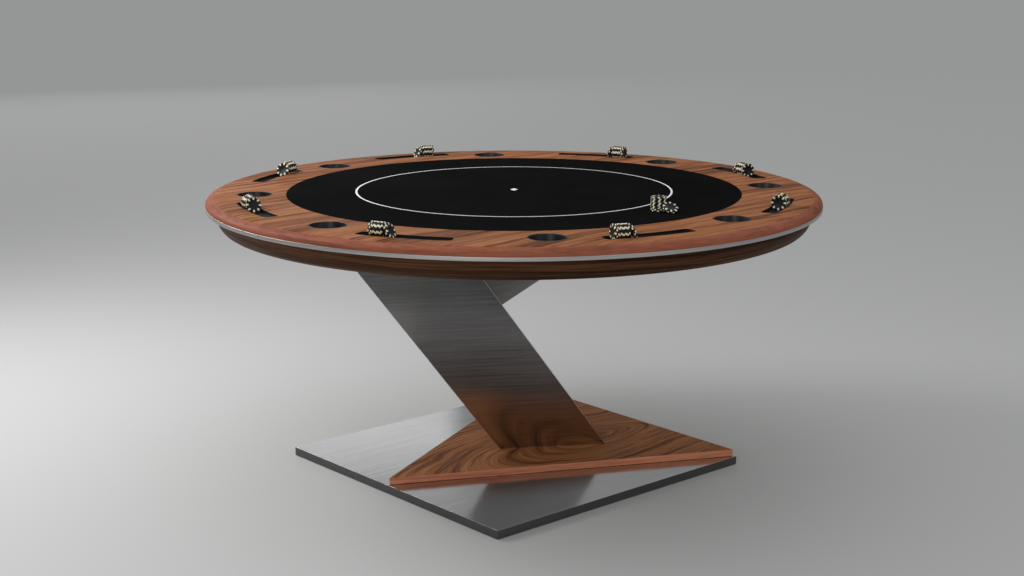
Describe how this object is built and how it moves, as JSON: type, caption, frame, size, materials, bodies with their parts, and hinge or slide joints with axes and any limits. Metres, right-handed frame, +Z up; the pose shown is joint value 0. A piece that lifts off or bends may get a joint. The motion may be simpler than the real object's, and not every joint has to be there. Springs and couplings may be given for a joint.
{
  "type": "round poker table",
  "caption": "Round walnut-rail poker table with cup holders, curved chip slots and standing chips, on a leaning triangular steel column with a square base.",
  "frame": {"origin": "on the floor, under the centre of the square base plate, which is also under the centre of the top", "axes": "+Z up; +Y along the pedestal's plane of symmetry, away from the side the column leans to; +X to the right of that"},
  "size_m": [1.636, 1.636, 0.7985],
  "materials": {
    "brushed_steel": "long-line brushed, satin",
    "zinc_steel": "dull zinc plate",
    "pad_rubber": "matt",
    "walnut": "oiled satin walnut, straight grain",
    "dark_walnut": "stained satin walnut",
    "black_metal": "satin black",
    "chip_body": "black clay composite with cream edge spots",
    "board": "raw fibreboard",
    "black_cloth": "tightly woven table cloth"
  },
  "bodies": {
    "table": {"base_plate": "brushed_steel", "base_wedge": "walnut", "floor_pad_1": "pad_rubber", "floor_pad_2": "pad_rubber", "floor_pad_3": "pad_rubber", "floor_pad_4": "pad_rubber", "foot_bolt_1": "zinc_steel", "foot_bolt_2": "zinc_steel", "foot_bolt_3": "zinc_steel", "leg_front_panel": "brushed_steel", "leg_back_panel": "brushed_steel", "leg_rear_panel": "brushed_steel", "leg_foot_flange": "zinc_steel", "arm_front_panel": "brushed_steel", "arm_rear_panel": "brushed_steel", "arm_nose_plate": "brushed_steel", "head_plate": "zinc_steel", "head_bolt_1": "zinc_steel", "head_bolt_2": "zinc_steel", "head_bolt_3": "zinc_steel", "head_bolt_4": "zinc_steel", "core_board": "board", "steel_band": "brushed_steel", "apron_ring": "dark_walnut", "rail_segment_1": "walnut", "rail_segment_2": "walnut", "rail_segment_3": "walnut", "rail_segment_4": "walnut", "rail_segment_5": "walnut", "rail_segment_6": "walnut", "rail_segment_7": "walnut", "rail_segment_8": "walnut", "trough_1": "black_metal", "trough_2": "black_metal", "trough_3": "black_metal", "trough_4": "black_metal", "trough_5": "black_metal", "trough_6": "black_metal", "trough_7": "black_metal", "trough_8": "black_metal"},
    "cup_1": {"cup_1": "black_metal"},
    "cup_2": {"cup_2": "black_metal"},
    "cup_3": {"cup_3": "black_metal"},
    "cup_4": {"cup_4": "black_metal"},
    "cup_5": {"cup_5": "black_metal"},
    "cup_6": {"cup_6": "black_metal"},
    "cup_7": {"cup_7": "black_metal"},
    "cup_8": {"cup_8": "black_metal"},
    "chip_row_1": {"chip_row_1": "chip_body"},
    "chip_row_2": {"chip_row_2": "chip_body"},
    "chip_row_3": {"chip_row_3": "chip_body"},
    "chip_row_4": {"chip_row_4": "chip_body"},
    "chip_row_5": {"chip_row_5": "chip_body"},
    "chip_row_6": {"chip_row_6": "chip_body"},
    "chip_row_7": {"chip_row_7": "chip_body"},
    "chip_row_8": {"chip_row_8": "chip_body"},
    "playing_surface": {"playing_board": "board", "playing_cloth": "black_cloth"},
    "chip_stack": {"chip_stack": "chip_body"},
    "leaning_chips": {"leaning_chips": "chip_body"}
  },
  "joints": [
    {"name": "cup_1_lift", "type": "slide", "parent": "table", "child": "cup_1", "axis": [0, 0, 1], "range_m": [0, 0.08]},
    {"name": "cup_2_lift", "type": "slide", "parent": "table", "child": "cup_2", "axis": [0, 0, 1], "range_m": [0, 0.08]},
    {"name": "cup_3_lift", "type": "slide", "parent": "table", "child": "cup_3", "axis": [0, 0, 1], "range_m": [0, 0.08]},
    {"name": "cup_4_lift", "type": "slide", "parent": "table", "child": "cup_4", "axis": [0, 0, 1], "range_m": [0, 0.08]},
    {"name": "cup_5_lift", "type": "slide", "parent": "table", "child": "cup_5", "axis": [0, 0, 1], "range_m": [0, 0.08]},
    {"name": "cup_6_lift", "type": "slide", "parent": "table", "child": "cup_6", "axis": [0, 0, 1], "range_m": [0, 0.08]},
    {"name": "cup_7_lift", "type": "slide", "parent": "table", "child": "cup_7", "axis": [0, 0, 1], "range_m": [0, 0.08]},
    {"name": "cup_8_lift", "type": "slide", "parent": "table", "child": "cup_8", "axis": [0, 0, 1], "range_m": [0, 0.08]},
    {"name": "chip_row_1_lift", "type": "slide", "parent": "table", "child": "chip_row_1", "axis": [0, 0, 1], "range_m": [0, 0.04]},
    {"name": "chip_row_2_lift", "type": "slide", "parent": "table", "child": "chip_row_2", "axis": [0, 0, 1], "range_m": [0, 0.04]},
    {"name": "chip_row_3_lift", "type": "slide", "parent": "table", "child": "chip_row_3", "axis": [0, 0, 1], "range_m": [0, 0.04]},
    {"name": "chip_row_4_lift", "type": "slide", "parent": "table", "child": "chip_row_4", "axis": [0, 0, 1], "range_m": [0, 0.04]},
    {"name": "chip_row_5_lift", "type": "slide", "parent": "table", "child": "chip_row_5", "axis": [0, 0, 1], "range_m": [0, 0.04]},
    {"name": "chip_row_6_lift", "type": "slide", "parent": "table", "child": "chip_row_6", "axis": [0, 0, 1], "range_m": [0, 0.04]},
    {"name": "chip_row_7_lift", "type": "slide", "parent": "table", "child": "chip_row_7", "axis": [0, 0, 1], "range_m": [0, 0.04]},
    {"name": "chip_row_8_lift", "type": "slide", "parent": "table", "child": "chip_row_8", "axis": [0, 0, 1], "range_m": [0, 0.04]},
    {"name": "playing_surface_lift", "type": "slide", "parent": "table", "child": "playing_surface", "axis": [0, 0, 1], "range_m": [0, 0.05]},
    {"name": "chip_stack_lift", "type": "slide", "parent": "playing_surface", "child": "chip_stack", "axis": [0, 0, 1], "range_m": [0, 0.05]},
    {"name": "leaning_chips_lift", "type": "slide", "parent": "playing_surface", "child": "leaning_chips", "axis": [0, 0, 1], "range_m": [0, 0.05]}
  ]
}
